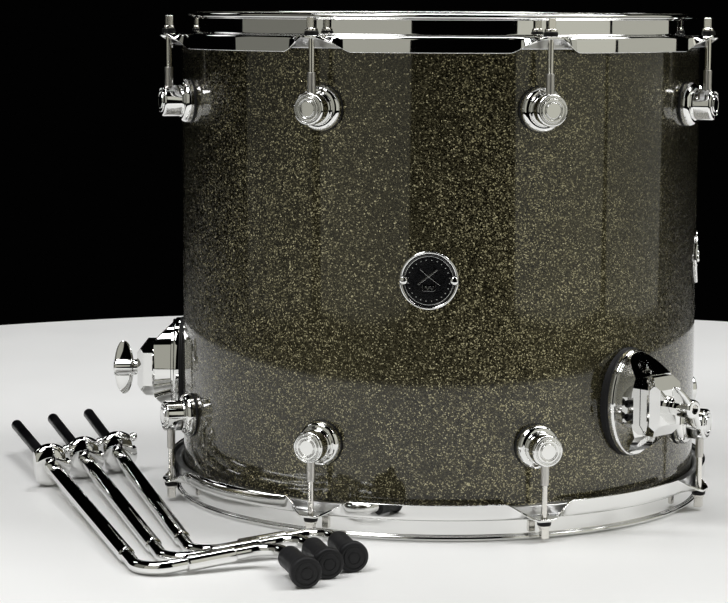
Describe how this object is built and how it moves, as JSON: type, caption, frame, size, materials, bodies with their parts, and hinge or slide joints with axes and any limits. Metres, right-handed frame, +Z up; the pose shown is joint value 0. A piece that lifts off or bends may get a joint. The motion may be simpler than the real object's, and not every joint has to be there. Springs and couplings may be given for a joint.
{
  "type": "floor tom drum",
  "caption": "Large double-headed floor tom with flanged hoops, turret lugs, tension rods and leg brackets, its bent legs lying beside it.",
  "frame": {"origin": "on the floor at the drum's axis, in the plane of the lower hoop's rim", "axes": "+Z up along the drum's axis, -Y towards the front badge, +X to the right seen from the front"},
  "size_m": [0.6554, 0.696, 0.4245],
  "materials": {
    "shell_lacquer": "very glossy dark pewter lacquer with fine glitter over maple ply",
    "coated_head": "white coated polyester film",
    "clear_head": "clear polyester film",
    "flesh_hoop_aluminium": "satin rolled aluminium",
    "hoop_chrome": "mirror chrome plate on pressed steel",
    "lug_chrome": "mirror chrome plate on die-cast zinc",
    "rod_steel": "nickel-plated steel",
    "washer_black": "black nylon",
    "gasket_rubber": "moulded black rubber",
    "badge_black": "gloss black enamel",
    "badge_silver": "bright polished edge",
    "bracket_chrome": "mirror chrome plate on die-cast zinc",
    "leg_chrome": "mirror chrome plate on steel",
    "foot_rubber": "moulded black rubber"
  },
  "bodies": {
    "resonant_hoop_unit": {"resonant_hoop": "hoop_chrome", "resonant_flesh_hoop": "flesh_hoop_aluminium", "resonant_head": "clear_head", "resonant_washers": "washer_black"},
    "shell_unit": {"shell": "shell_lacquer", "batter_flesh_hoop": "flesh_hoop_aluminium", "batter_head": "coated_head", "batter_lugs": "lug_chrome", "resonant_lugs": "lug_chrome", "lug_gaskets": "gasket_rubber", "batter_receivers": "rod_steel", "resonant_receivers": "rod_steel", "lug_screws": "rod_steel", "badge_plates": "badge_black", "badge_rims": "badge_silver", "badge_rivets": "badge_silver", "vent_grommet": "badge_silver", "bracket_gaskets": "gasket_rubber", "bracket_bases": "bracket_chrome", "bracket_studs": "rod_steel", "bracket_screws": "rod_steel"},
    "batter_hoop_unit": {"batter_hoop": "hoop_chrome", "batter_washers": "washer_black"},
    "batter_rod_1_body": {"batter_rod_1": "rod_steel"},
    "batter_rod_2_body": {"batter_rod_2": "rod_steel"},
    "batter_rod_3_body": {"batter_rod_3": "rod_steel"},
    "batter_rod_4_body": {"batter_rod_4": "rod_steel"},
    "batter_rod_5_body": {"batter_rod_5": "rod_steel"},
    "batter_rod_6_body": {"batter_rod_6": "rod_steel"},
    "batter_rod_7_body": {"batter_rod_7": "rod_steel"},
    "batter_rod_8_body": {"batter_rod_8": "rod_steel"},
    "resonant_rod_1_body": {"resonant_rod_1": "rod_steel"},
    "resonant_rod_2_body": {"resonant_rod_2": "rod_steel"},
    "resonant_rod_3_body": {"resonant_rod_3": "rod_steel"},
    "resonant_rod_4_body": {"resonant_rod_4": "rod_steel"},
    "resonant_rod_5_body": {"resonant_rod_5": "rod_steel"},
    "resonant_rod_6_body": {"resonant_rod_6": "rod_steel"},
    "resonant_rod_7_body": {"resonant_rod_7": "rod_steel"},
    "resonant_rod_8_body": {"resonant_rod_8": "rod_steel"},
    "bracket_gate_1_body": {"bracket_gate_1": "bracket_chrome"},
    "wing_nut_1_body": {"wing_nut_1": "bracket_chrome"},
    "bracket_gate_2_body": {"bracket_gate_2": "bracket_chrome"},
    "wing_nut_2_body": {"wing_nut_2": "bracket_chrome"},
    "bracket_gate_3_body": {"bracket_gate_3": "bracket_chrome"},
    "wing_nut_3_body": {"wing_nut_3": "bracket_chrome"},
    "leg_1": {"leg_rod_1": "leg_chrome", "rubber_foot_1": "foot_rubber"},
    "memory_lock_1_body": {"memory_lock_1": "leg_chrome"},
    "lock_screw_1_body": {"lock_screw_1": "leg_chrome"},
    "leg_2": {"leg_rod_2": "leg_chrome", "rubber_foot_2": "foot_rubber"},
    "memory_lock_2_body": {"memory_lock_2": "leg_chrome"},
    "lock_screw_2_body": {"lock_screw_2": "leg_chrome"},
    "leg_3": {"leg_rod_3": "leg_chrome", "rubber_foot_3": "foot_rubber"},
    "memory_lock_3_body": {"memory_lock_3": "leg_chrome"},
    "lock_screw_3_body": {"lock_screw_3": "leg_chrome"}
  },
  "joints": [
    {"name": "shell_lift", "type": "slide", "parent": "resonant_hoop_unit", "child": "shell_unit", "axis": [0, 0, 1], "range_m": [0, 0.008]},
    {"name": "batter_hoop_lift", "type": "slide", "parent": "shell_unit", "child": "batter_hoop_unit", "axis": [0, 0, 1], "range_m": [0, 0.008]},
    {"name": "batter_rod_1_turn", "type": "hinge", "parent": "batter_hoop_unit", "child": "batter_rod_1_body", "pos_m": [0.09471, -0.22866, 0.4044], "axis": [0, 0, 1], "range_deg": [0, 2723.3]},
    {"name": "batter_rod_2_turn", "type": "hinge", "parent": "batter_hoop_unit", "child": "batter_rod_2_body", "pos_m": [0.22866, -0.09471, 0.4044], "axis": [0, 0, 1], "range_deg": [0, 2723.3]},
    {"name": "batter_rod_3_turn", "type": "hinge", "parent": "batter_hoop_unit", "child": "batter_rod_3_body", "pos_m": [0.22866, 0.09471, 0.4044], "axis": [0, 0, 1], "range_deg": [0, 2723.3]},
    {"name": "batter_rod_4_turn", "type": "hinge", "parent": "batter_hoop_unit", "child": "batter_rod_4_body", "pos_m": [0.09471, 0.22866, 0.4044], "axis": [0, 0, 1], "range_deg": [0, 2723.3]},
    {"name": "batter_rod_5_turn", "type": "hinge", "parent": "batter_hoop_unit", "child": "batter_rod_5_body", "pos_m": [-0.09471, 0.22866, 0.4044], "axis": [0, 0, 1], "range_deg": [0, 2723.3]},
    {"name": "batter_rod_6_turn", "type": "hinge", "parent": "batter_hoop_unit", "child": "batter_rod_6_body", "pos_m": [-0.22866, 0.09471, 0.4044], "axis": [0, 0, 1], "range_deg": [0, 2723.3]},
    {"name": "batter_rod_7_turn", "type": "hinge", "parent": "batter_hoop_unit", "child": "batter_rod_7_body", "pos_m": [-0.22866, -0.09471, 0.4044], "axis": [0, 0, 1], "range_deg": [0, 2723.3]},
    {"name": "batter_rod_8_turn", "type": "hinge", "parent": "batter_hoop_unit", "child": "batter_rod_8_body", "pos_m": [-0.09471, -0.22866, 0.4044], "axis": [0, 0, 1], "range_deg": [0, 2723.3]},
    {"name": "resonant_rod_1_turn", "type": "hinge", "parent": "resonant_hoop_unit", "child": "resonant_rod_1_body", "pos_m": [0.09471, -0.22866, 0.02], "axis": [0, 0, -1], "range_deg": [0, 2723.3]},
    {"name": "resonant_rod_2_turn", "type": "hinge", "parent": "resonant_hoop_unit", "child": "resonant_rod_2_body", "pos_m": [0.22866, -0.09471, 0.02], "axis": [0, 0, -1], "range_deg": [0, 2723.3]},
    {"name": "resonant_rod_3_turn", "type": "hinge", "parent": "resonant_hoop_unit", "child": "resonant_rod_3_body", "pos_m": [0.22866, 0.09471, 0.02], "axis": [0, 0, -1], "range_deg": [0, 2723.3]},
    {"name": "resonant_rod_4_turn", "type": "hinge", "parent": "resonant_hoop_unit", "child": "resonant_rod_4_body", "pos_m": [0.09471, 0.22866, 0.02], "axis": [0, 0, -1], "range_deg": [0, 2723.3]},
    {"name": "resonant_rod_5_turn", "type": "hinge", "parent": "resonant_hoop_unit", "child": "resonant_rod_5_body", "pos_m": [-0.09471, 0.22866, 0.02], "axis": [0, 0, -1], "range_deg": [0, 2723.3]},
    {"name": "resonant_rod_6_turn", "type": "hinge", "parent": "resonant_hoop_unit", "child": "resonant_rod_6_body", "pos_m": [-0.22866, 0.09471, 0.02], "axis": [0, 0, -1], "range_deg": [0, 2723.3]},
    {"name": "resonant_rod_7_turn", "type": "hinge", "parent": "resonant_hoop_unit", "child": "resonant_rod_7_body", "pos_m": [-0.22866, -0.09471, 0.02], "axis": [0, 0, -1], "range_deg": [0, 2723.3]},
    {"name": "resonant_rod_8_turn", "type": "hinge", "parent": "resonant_hoop_unit", "child": "resonant_rod_8_body", "pos_m": [-0.09471, -0.22866, 0.02], "axis": [0, 0, -1], "range_deg": [0, 2723.3]},
    {"name": "bracket_gate_1_slide", "type": "slide", "parent": "shell_unit", "child": "bracket_gate_1_body", "axis": [0.7408, -0.6717, 0], "range_m": [0, 0.004]},
    {"name": "wing_nut_1_turn", "type": "hinge", "parent": "bracket_gate_1_body", "child": "wing_nut_1_body", "pos_m": [0.20639, -0.18714, 0.105], "axis": [0.7408, -0.6717, 0], "range_deg": [0, 1154]},
    {"name": "bracket_gate_2_slide", "type": "slide", "parent": "shell_unit", "child": "bracket_gate_2_body", "axis": [-0.0489, 0.9988, 0], "range_m": [0, 0.004]},
    {"name": "wing_nut_2_turn", "type": "hinge", "parent": "bracket_gate_2_body", "child": "wing_nut_2_body", "pos_m": [-0.01361, 0.27827, 0.105], "axis": [-0.0489, 0.9988, 0], "range_deg": [0, 1154]},
    {"name": "bracket_gate_3_slide", "type": "slide", "parent": "shell_unit", "child": "bracket_gate_3_body", "axis": [-0.9988, -0.0489, 0], "range_m": [0, 0.004]},
    {"name": "wing_nut_3_turn", "type": "hinge", "parent": "bracket_gate_3_body", "child": "wing_nut_3_body", "pos_m": [-0.27827, -0.01361, 0.105], "axis": [-0.9988, -0.0489, 0], "range_deg": [0, 1154]},
    {"name": "leg_1_lift", "type": "slide", "parent": "resonant_hoop_unit", "child": "leg_1", "axis": [-0.3202, -0.1203, 0.9397], "range_m": [0, 0.3]},
    {"name": "memory_lock_1_slide", "type": "slide", "parent": "leg_1", "child": "memory_lock_1_body", "axis": [-0.3759, 0.9257, 0.0424], "range_m": [0, 0.14]},
    {"name": "lock_screw_1_turn", "type": "hinge", "parent": "memory_lock_1_body", "child": "lock_screw_1_body", "pos_m": [-0.3321, -0.03781, 0.03329], "axis": [0.9239, 0.3708, 0.0944], "range_deg": [0, 360]},
    {"name": "leg_2_lift", "type": "slide", "parent": "resonant_hoop_unit", "child": "leg_2", "axis": [-0.3202, -0.1203, 0.9397], "range_m": [0, 0.3]},
    {"name": "memory_lock_2_slide", "type": "slide", "parent": "leg_2", "child": "memory_lock_2_body", "axis": [-0.3515, 0.9352, 0.0424], "range_m": [0, 0.14]},
    {"name": "lock_screw_2_turn", "type": "hinge", "parent": "memory_lock_2_body", "child": "lock_screw_2_body", "pos_m": [-0.3084, -0.00125, 0.03329], "axis": [0.9333, 0.3465, 0.0944], "range_deg": [0, 360]},
    {"name": "leg_3_lift", "type": "slide", "parent": "resonant_hoop_unit", "child": "leg_3", "axis": [-0.3202, -0.1203, 0.9397], "range_m": [0, 0.3]},
    {"name": "memory_lock_3_slide", "type": "slide", "parent": "leg_3", "child": "memory_lock_3_body", "axis": [-0.3286, 0.9435, 0.0424], "range_m": [0, 0.14]},
    {"name": "lock_screw_3_turn", "type": "hinge", "parent": "memory_lock_3_body", "child": "lock_screw_3_body", "pos_m": [-0.28223, 0.0273, 0.03329], "axis": [0.9415, 0.3236, 0.0944], "range_deg": [0, 360]}
  ],
  "couplings": [
    {"joint": "batter_rod_1_turn", "follows": "batter_hoop_lift", "rad_per_m": 5936.9},
    {"joint": "batter_rod_2_turn", "follows": "batter_hoop_lift", "rad_per_m": 5936.9},
    {"joint": "batter_rod_3_turn", "follows": "batter_hoop_lift", "rad_per_m": 5936.9},
    {"joint": "batter_rod_4_turn", "follows": "batter_hoop_lift", "rad_per_m": 5936.9},
    {"joint": "batter_rod_5_turn", "follows": "batter_hoop_lift", "rad_per_m": 5936.9},
    {"joint": "batter_rod_6_turn", "follows": "batter_hoop_lift", "rad_per_m": 5936.9},
    {"joint": "batter_rod_7_turn", "follows": "batter_hoop_lift", "rad_per_m": 5936.9},
    {"joint": "batter_rod_8_turn", "follows": "batter_hoop_lift", "rad_per_m": 5936.9},
    {"joint": "resonant_rod_1_turn", "follows": "shell_lift", "rad_per_m": 5936.9},
    {"joint": "resonant_rod_2_turn", "follows": "shell_lift", "rad_per_m": 5936.9},
    {"joint": "resonant_rod_3_turn", "follows": "shell_lift", "rad_per_m": 5936.9},
    {"joint": "resonant_rod_4_turn", "follows": "shell_lift", "rad_per_m": 5936.9},
    {"joint": "resonant_rod_5_turn", "follows": "shell_lift", "rad_per_m": 5936.9},
    {"joint": "resonant_rod_6_turn", "follows": "shell_lift", "rad_per_m": 5936.9},
    {"joint": "resonant_rod_7_turn", "follows": "shell_lift", "rad_per_m": 5936.9},
    {"joint": "resonant_rod_8_turn", "follows": "shell_lift", "rad_per_m": 5936.9},
    {"joint": "wing_nut_1_turn", "follows": "bracket_gate_1_slide", "rad_per_m": 5026.5},
    {"joint": "wing_nut_2_turn", "follows": "bracket_gate_2_slide", "rad_per_m": 5026.5},
    {"joint": "wing_nut_3_turn", "follows": "bracket_gate_3_slide", "rad_per_m": 5026.5}
  ]
}
